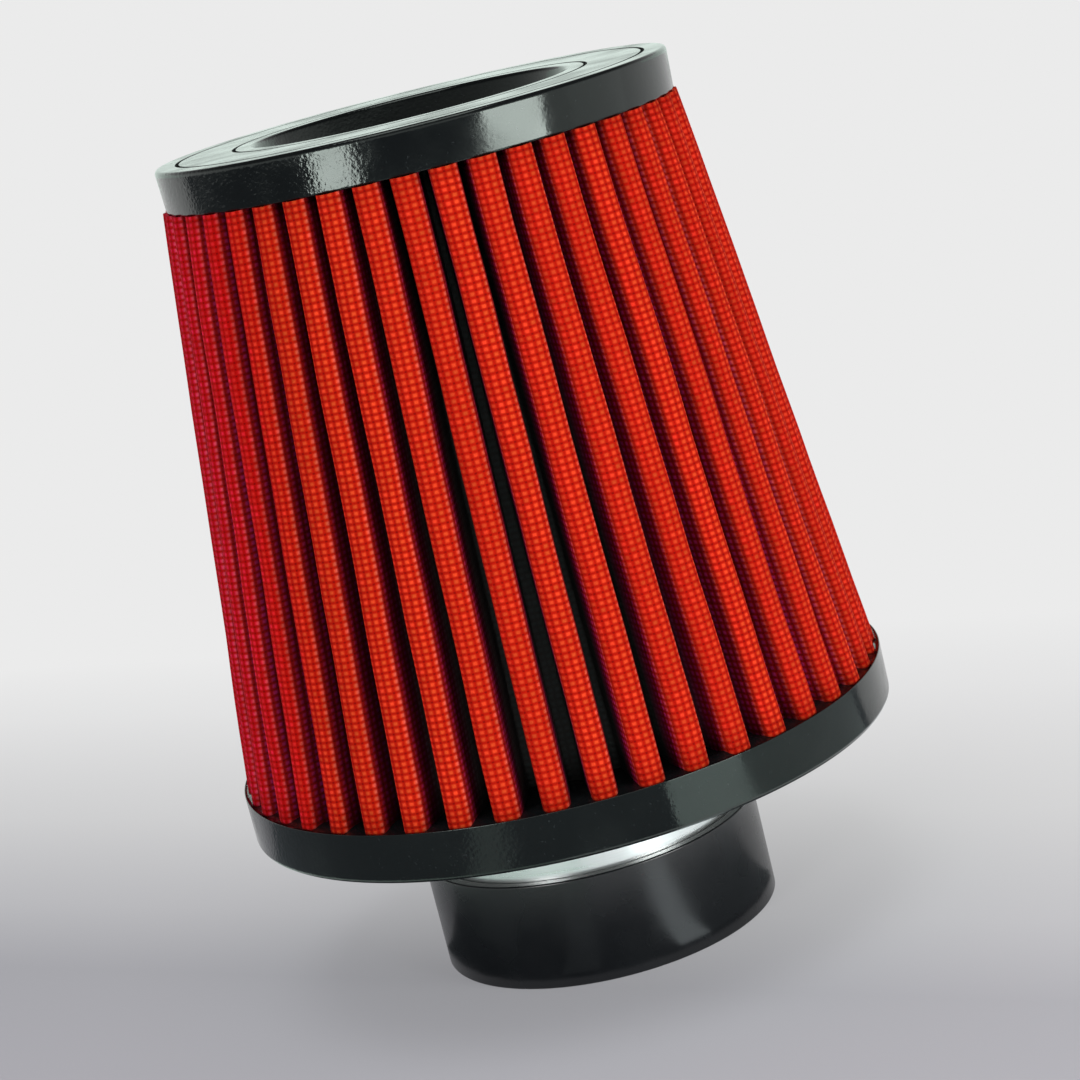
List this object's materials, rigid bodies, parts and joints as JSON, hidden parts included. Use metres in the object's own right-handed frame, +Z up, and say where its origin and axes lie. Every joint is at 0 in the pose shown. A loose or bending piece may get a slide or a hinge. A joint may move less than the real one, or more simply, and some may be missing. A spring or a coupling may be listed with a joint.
{
  "type": "cone air filter",
  "caption": "Tapered cone air filter: red pleated gauze between black moulded end caps, with a bright metal neck and a rubber sleeve that clamps onto an intake pipe.",
  "frame": {"origin": "centre of the rubber sleeve's lower face, where the filter stands on its neck", "axes": "+Z up along the filter's axis, from the neck to the closed top cap; the pleats repeat around Z, with a gap between two crests facing -Y"},
  "size_m": [0.153, 0.153, 0.1983],
  "materials": {
    "sleeve_rubber": "satin moulded rubber",
    "neck_aluminium": "bright drawn aluminium",
    "cap_polyurethane": "glossy cast polyurethane",
    "red_gauze": "open woven gauze",
    "cage_steel": "galvanised sheet"
  },
  "bodies": {
    "root": {"neck_sleeve": "sleeve_rubber", "neck_tube": "neck_aluminium", "base_cap": "cap_polyurethane", "pleated_media": "red_gauze", "support_cage": "cage_steel", "top_cap": "cap_polyurethane"}
  },
  "joints": []
}
